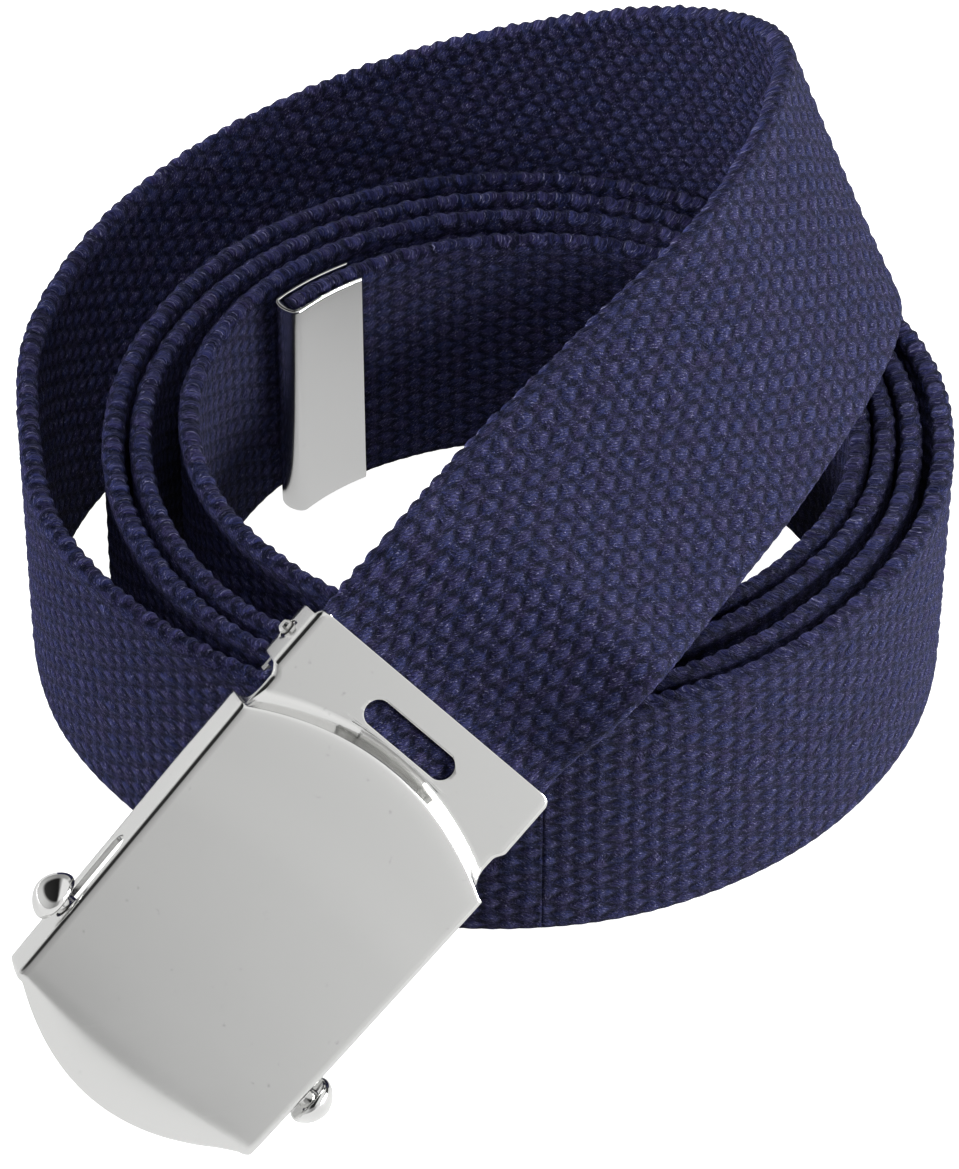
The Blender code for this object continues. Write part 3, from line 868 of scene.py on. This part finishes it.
# %% The weave as a shader group
def weave_group():
    """Crowns, pits, dye and fibres of a plain weave, from its places in millimetres, with painted light
    for the crowns and painted shade for the pits.
    """
    group, given, made = new_group(
        "plain weave",
        [("Cloth", "NodeSocketVector", None)],
        [("Height", "NodeSocketFloat"), ("Crown Light", "NodeSocketFloat"),
         ("Pit Shade", "NodeSocketFloat"), ("Dye", "NodeSocketFloat"), ("Hue", "NodeSocketFloat"),
         ("Fibre", "NodeSocketFloat")])
    cloth = given.outputs["Cloth"]
    parts = group.nodes.new("ShaderNodeSeparateXYZ")
    group.links.new(cloth, parts.inputs[0])
    a = maths(group, "DIVIDE", parts.outputs[0], pick_pitch * 1000)
    b = maths(group, "DIVIDE", parts.outputs[1], yarn_pitch * 1000)
    cos_a = maths(group, "COSINE", maths(group, "MULTIPLY", a, math.pi))
    cos_b = maths(group, "COSINE", maths(group, "MULTIPLY", b, math.pi))
    cos_2a = maths(group, "COSINE", maths(group, "MULTIPLY", a, 2 * math.pi))
    cos_2b = maths(group, "COSINE", maths(group, "MULTIPLY", b, 2 * math.pi))
    stagger = maths(group, "MULTIPLY", cos_a, cos_b)
    rows = maths(group, "MULTIPLY_ADD", cos_2a, 0.26, maths(group, "MULTIPLY", cos_2b, 0.20))
    crown = maths(group, "MULTIPLY_ADD", stagger, 0.54, rows)
    # Which crown this is: its row and column give it a dye of its own
    row = maths(group, "ROUND", a)
    column = maths(group, "ROUND", b)
    label = group.nodes.new("ShaderNodeCombineXYZ")
    group.links.new(row, label.inputs[0])
    group.links.new(column, label.inputs[1])
    chance = group.nodes.new("ShaderNodeTexWhiteNoise")
    chance.noise_dimensions = "2D"
    group.links.new(label.outputs[0], chance.inputs["Vector"])
    dyes = group.nodes.new("ShaderNodeSeparateColor")
    group.links.new(chance.outputs["Color"], dyes.inputs[0])
    # The yarn's twist runs slantwise over each crown
    slant = maths(group, "MULTIPLY_ADD", parts.outputs[0], 5.2,
                  maths(group, "MULTIPLY", parts.outputs[1], 9.5))
    rough = noise(group, cloth, 3.2, 3.0, 0.6)
    twist = maths(group, "SINE", maths(group, "MULTIPLY_ADD", rough, 9.0, slant))
    slanted = group.nodes.new("ShaderNodeVectorRotate")
    slanted.rotation_type = "Z_AXIS"
    slanted.inputs["Angle"].default_value = math.radians(32)
    group.links.new(cloth, slanted.inputs["Vector"])
    fibre = noise(group, slanted.outputs[0], 1.7, 3.0, 0.7, (1.0, 3.4, 1.0))
    height = maths(group, "MULTIPLY_ADD", twist, 0.12, crown)
    height = maths(group, "MULTIPLY_ADD", fibre, 2.0, height)
    # Share of painted shade in the pits between the crowns
    pit = group.nodes.new("ShaderNodeMapRange")
    pit.inputs["From Min"].default_value = -0.04
    pit.inputs["From Max"].default_value = -0.36
    group.links.new(maths(group, "MULTIPLY_ADD", maths(group, "SUBTRACT", rough, 0.5), 1.3, crown),
                    pit.inputs["Value"])
    # Share of painted light on each crown, rising with the crown's height
    top = group.nodes.new("ShaderNodeMapRange")
    top.inputs["From Min"].default_value = -0.1
    top.inputs["From Max"].default_value = 0.9
    group.links.new(crown, top.inputs["Value"])
    group.links.new(height, made.inputs["Height"])
    group.links.new(top.outputs[0], made.inputs["Crown Light"])
    group.links.new(pit.outputs[0], made.inputs["Pit Shade"])
    group.links.new(dyes.outputs[0], made.inputs["Dye"])
    group.links.new(dyes.outputs[1], made.inputs["Hue"])
    group.links.new(fibre, made.inputs["Fibre"])
    return group


weave = weave_group()


# %% Navy cotton
def cotton_material():
    """Matt navy yarn with painted light on its crowns, pale fibre ends and painted shade making the
    pits nearly black.
    """
    material = bpy.data.materials.new("navy cotton webbing")
    material.use_nodes = True
    tree = material.node_tree
    cloth_finish = tree.nodes["Principled BSDF"]
    places = tree.nodes.new("ShaderNodeUVMap")
    places.uv_map = "cloth"
    pattern = tree.nodes.new("ShaderNodeGroup")
    pattern.node_tree = weave
    tree.links.new(places.outputs[0], pattern.inputs["Cloth"])
    # crown carries the painted light on the crowns, pit the painted shade in the pits
    crown, pit = pattern.outputs["Crown Light"], pattern.outputs["Pit Shade"]
    dye, hue = pattern.outputs["Dye"], pattern.outputs["Hue"]
    # deep is painted shade: the near black of the pits; it also darkens the yarn where the fibre noise
    # is low
    deep = (0.0015, 0.002, 0.006, 1.0)
    blue = (0.016, 0.021, 0.085, 1.0)
    plum = (0.026, 0.020, 0.071, 1.0)
    # pale is painted light: the tone the crowns are lifted to
    pale = (0.047, 0.051, 0.155, 1.0)
    ends = (0.25, 0.25, 0.38, 1.0)
    yarn = mix_colours(tree, hue, blue, plum)
    # Painted light: each crown is painted paler, more on its higher part and by its own dye
    crown_light_share = maths(tree, "MULTIPLY", crown, maths(tree, "MULTIPLY_ADD", dye, 0.6, 0.15))
    yarn = mix_colours(tree, crown_light_share, yarn, pale)
    strand = maths(tree, "SUBTRACT", pattern.outputs["Fibre"], 0.42)
    strand = maths(tree, "MULTIPLY", strand, 5.0, clamp=True)
    yarn = mix_colours(tree, strand, mix_colours(tree, 0.75, yarn, deep), yarn)
    turned = tree.nodes.new("ShaderNodeVectorRotate")
    turned.rotation_type = "Z_AXIS"
    turned.inputs["Angle"].default_value = math.radians(35)
    tree.links.new(places.outputs[0], turned.inputs["Vector"])
    fleck = noise(tree, turned.outputs[0], 1.9, 3.0, 0.75, (1.0, 3.6, 1.0))
    fleck = maths(tree, "SUBTRACT", fleck, 0.565, clamp=True)
    fleck = maths(tree, "MULTIPLY", fleck, 8.0, clamp=True)
    yarn = mix_colours(tree, maths(tree, "MULTIPLY", fleck, 0.8), yarn, ends)
    # Painted shade: the pits are painted nearly black
    yarn = mix_colours(tree, maths(tree, "MULTIPLY", pit, 0.95), yarn, deep)
    tree.links.new(yarn, cloth_finish.inputs["Base Color"])
    cloth_finish.inputs["Roughness"].default_value = 0.9
    cloth_finish.inputs["Specular IOR Level"].default_value = 0.08
    cloth_finish.inputs["Sheen Weight"].default_value = 0.07
    cloth_finish.inputs["Sheen Roughness"].default_value = 0.5
    cloth_finish.inputs["Sheen Tint"].default_value = (0.45, 0.48, 0.85, 1.0)
    bump = tree.nodes.new("ShaderNodeBump")
    bump.inputs["Strength"].default_value = 1.0
    bump.inputs["Distance"].default_value = 0.00034
    tree.links.new(pattern.outputs["Height"], bump.inputs["Height"])
    tree.links.new(bump.outputs[0], cloth_finish.inputs["Normal"])
    return material


cotton = cotton_material()

# %% [markdown]
# Nickel plate over pressed steel.  It is smooth and a little satin, so it shows the
# room as soft bands.  Handling leaves faint hairlines and a few dull specks.

# %% Nickel plate as a shader group and a material
def wear_group():
    """Faint hairlines, dull specks and slow clouding of a handled plate."""
    group, given, made = new_group(
        "light wear",
        [("Place", "NodeSocketVector", None), ("Fineness", "NodeSocketFloat", 1.0)],
        [("Hairlines", "NodeSocketFloat"), ("Specks", "NodeSocketFloat"),
         ("Clouding", "NodeSocketFloat")])
    grown = group.nodes.new("ShaderNodeVectorMath")
    grown.operation = "SCALE"
    group.links.new(given.outputs["Place"], grown.inputs[0])
    group.links.new(given.outputs["Fineness"], grown.inputs["Scale"])
    place = grown.outputs[0]
    lines = noise(group, place, 90.0, 2.0, 0.6, (1.0, 1.0, 22.0))
    lines = maths(group, "MULTIPLY", maths(group, "SUBTRACT", lines, 0.62, clamp=True), 6.0, clamp=True)
    dots = noise(group, place, 900.0, 2.0, 0.5)
    dots = maths(group, "MULTIPLY", maths(group, "SUBTRACT", dots, 0.70, clamp=True), 9.0, clamp=True)
    cloud = noise(group, place, 60.0, 3.0, 0.55)
    group.links.new(lines, made.inputs["Hairlines"])
    group.links.new(dots, made.inputs["Specks"])
    group.links.new(cloud, made.inputs["Clouding"])
    return group


wear = wear_group()


def nickel_material(name, colour, smooth, worn):
    """Nickel plate of one colour, with its smoothness and the share of wear on it."""
    material = bpy.data.materials.new(name)
    material.use_nodes = True
    tree = material.node_tree
    plate = tree.nodes["Principled BSDF"]
    where = tree.nodes.new("ShaderNodeTexCoord")
    marks = tree.nodes.new("ShaderNodeGroup")
    marks.node_tree = wear
    tree.links.new(where.outputs["Object"], marks.inputs["Place"])
    specks = maths(tree, "MULTIPLY", marks.outputs["Specks"], worn)
    dull = tuple(value * 0.45 for value in colour[:3]) + (1.0,)
    tree.links.new(mix_colours(tree, specks, colour, dull), plate.inputs["Base Color"])
    plate.inputs["Metallic"].default_value = 1.0
    rough = maths(tree, "MULTIPLY_ADD", marks.outputs["Clouding"], 0.10, smooth - 0.05)
    rough = maths(tree, "MULTIPLY_ADD", marks.outputs["Hairlines"], 0.10 * worn, rough)
    tree.links.new(rough, plate.inputs["Roughness"])
    bump = tree.nodes.new("ShaderNodeBump")
    bump.inputs["Strength"].default_value = 0.15 * worn
    bump.inputs["Distance"].default_value = 0.00003
    tree.links.new(marks.outputs["Hairlines"], bump.inputs["Height"])
    tree.links.new(bump.outputs[0], plate.inputs["Normal"])
    return material


nickel = nickel_material("nickel plate", (0.70, 0.70, 0.69, 1.0), 0.17, 0.25)
cap_nickel = nickel_material("nickel plate of the cap", (0.80, 0.80, 0.79, 1.0), 0.17, 0.25)
polished = nickel_material("polished nickel", (0.74, 0.74, 0.73, 1.0), 0.09, 0.2)

# %% Dress every piece
for piece in webbing:
    piece.data.materials.clear()
    piece.data.materials.append(cotton)
for piece, finish in ((cap, cap_nickel), (case, nickel), (bar, polished), (clamp, nickel)):
    piece.data.materials.clear()
    piece.data.materials.append(finish)

# %% [markdown]
# The setting is white paper in a pale room.  Two low panels at the sides give the dark
# cotton its form, and a weaker one overhead lights the lead and the buckle.

# %% Floor
floor_mesh = bpy.data.meshes.new("floor")
floor_reach = 3.0
floor_corners = [(x * floor_reach, y * floor_reach, 0) for x, y in ((-1, -1), (1, -1), (1, 1), (-1, 1))]
floor_mesh.from_pydata(floor_corners, [], [(0, 1, 2, 3)])
floor = bpy.data.objects.new("floor", floor_mesh)
bpy.context.scene.collection.objects.link(floor)
floor.location.z = -0.0001
paper = bpy.data.materials.new("pale paper")
paper.use_nodes = True
sheet = paper.node_tree.nodes["Principled BSDF"]
sheet.inputs["Base Color"].default_value = (0.40, 0.40, 0.40, 1)
sheet.inputs["Roughness"].default_value = 0.8
sheet.inputs["Specular IOR Level"].default_value = 0.1
seen = paper.node_tree.nodes.new("ShaderNodeLightPath")
paper.node_tree.links.new(
    maths(paper.node_tree, "MULTIPLY_ADD", seen.outputs["Is Camera Ray"], 0.70, 0.33),
    sheet.inputs["Emission Strength"])
sheet.inputs["Emission Color"].default_value = (1, 1, 1, 1)
floor_mesh.materials.append(paper)
floor.visible_diffuse = False


# %% Light
def panel(name, place, aim, size, power, mirrored):
    """A flat lamp that looks at a point; mirrored says whether metal shows it."""
    data = bpy.data.lights.new(name, "AREA")
    data.shape = "RECTANGLE"
    data.size, data.size_y = size
    data.energy = power
    item = bpy.data.objects.new(name, data)
    item.location = place
    item.visible_glossy = mirrored
    item.rotation_euler = (Vector(aim) - Vector(place)).to_track_quat("-Z", "Y").to_euler()
    bpy.context.scene.collection.objects.link(item)
    return item


panel("left panel", (-0.80, 0.24, 0.13), (0, 0, 0.03), (0.7, 0.26), 21.0, False)
panel("right panel", (0.82, -0.22, 0.13), (0, 0, 0.03), (0.7, 0.26), 22.0, True)
panel("overhead panel", (0.0, -0.40, 0.87), (0, 0, 0), (0.5, 0.4), 7.5, False)

world = bpy.data.worlds.new("pale room")
bpy.context.scene.world = world
world.use_nodes = True
room = world.node_tree
shade = room.nodes["Background"]
facing_way = room.nodes.new("ShaderNodeTexCoord")
split = room.nodes.new("ShaderNodeSeparateXYZ")
room.links.new(facing_way.outputs["Generated"], split.inputs[0])
bands = room.nodes.new("ShaderNodeValToRGB")
ramp = bands.color_ramp
tones = [(0.0, 0.80), (0.20, 0.55), (0.45, 0.30), (0.65, 0.44), (0.73, 0.88), (1.0, 0.92)]
while len(ramp.elements) < len(tones):
    ramp.elements.new(0.5)
for stop, (place, tone) in zip(ramp.elements, tones):
    stop.position = place
    stop.color = (tone, tone, tone, 1)
room.links.new(maths(room, "MULTIPLY_ADD", split.outputs[0], 0.5, 0.5), bands.inputs[0])
kind = room.nodes.new("ShaderNodeLightPath")
mirrored = kind.outputs["Is Glossy Ray"]


def rise_along(axis, start, end):
    """Rises from 0 to 1 as a direction's share along an axis grows."""
    node = room.nodes.new("ShaderNodeMapRange")
    node.inputs["From Min"].default_value = start
    node.inputs["From Max"].default_value = end
    room.links.new(split.outputs[axis], node.inputs["Value"])
    return node.outputs[0]


# The far right corner and the ceiling's left half are dark, its right half is bright
high_up = rise_along(2, 0.44, 0.60)
ceiling = maths(room, "MULTIPLY", high_up, rise_along(0, -0.05, 0.15))
corner = maths(room, "MULTIPLY", rise_along(0, 0.40, 0.60), rise_along(1, -0.05, 0.15))
dark = maths(room, "MAXIMUM", corner, maths(room, "SUBTRACT", high_up, ceiling))
lit = maths(room, "MAXIMUM", maths(room, "MULTIPLY_ADD", dark, -0.95, 1.0), ceiling)
room.links.new(mix_colours(room, ceiling, bands.outputs[0], (1.0, 1.0, 1.0, 1.0)),
               shade.inputs["Color"])
matt_light = 0.035
matt = maths(room, "MULTIPLY", maths(room, "SUBTRACT", 1.0, mirrored), matt_light)
room.links.new(maths(room, "MULTIPLY_ADD", mirrored, lit, matt), shade.inputs["Strength"])

# %% Camera
camera_data = bpy.data.cameras.new("camera")
camera_data.sensor_fit = "VERTICAL"
camera_data.sensor_height = 36.0
camera_data.sensor_width = 36.0
camera_data.lens = 145.36
camera_data.clip_start = 0.01
camera = bpy.data.objects.new("camera", camera_data)
bpy.context.scene.collection.objects.link(camera)
aim = Vector((settle[0], settle[1], 0.016))
elevation = math.radians(41.0)
camera_distance = 0.555
way_back = Vector((0.0, -math.cos(elevation), math.sin(elevation)))
camera.location = aim + way_back * camera_distance
camera.rotation_euler = (aim - camera.location).to_track_quat("-Z", "Y").to_euler()
bpy.context.scene.camera = camera
bpy.context.scene.view_settings.view_transform = "Standard"
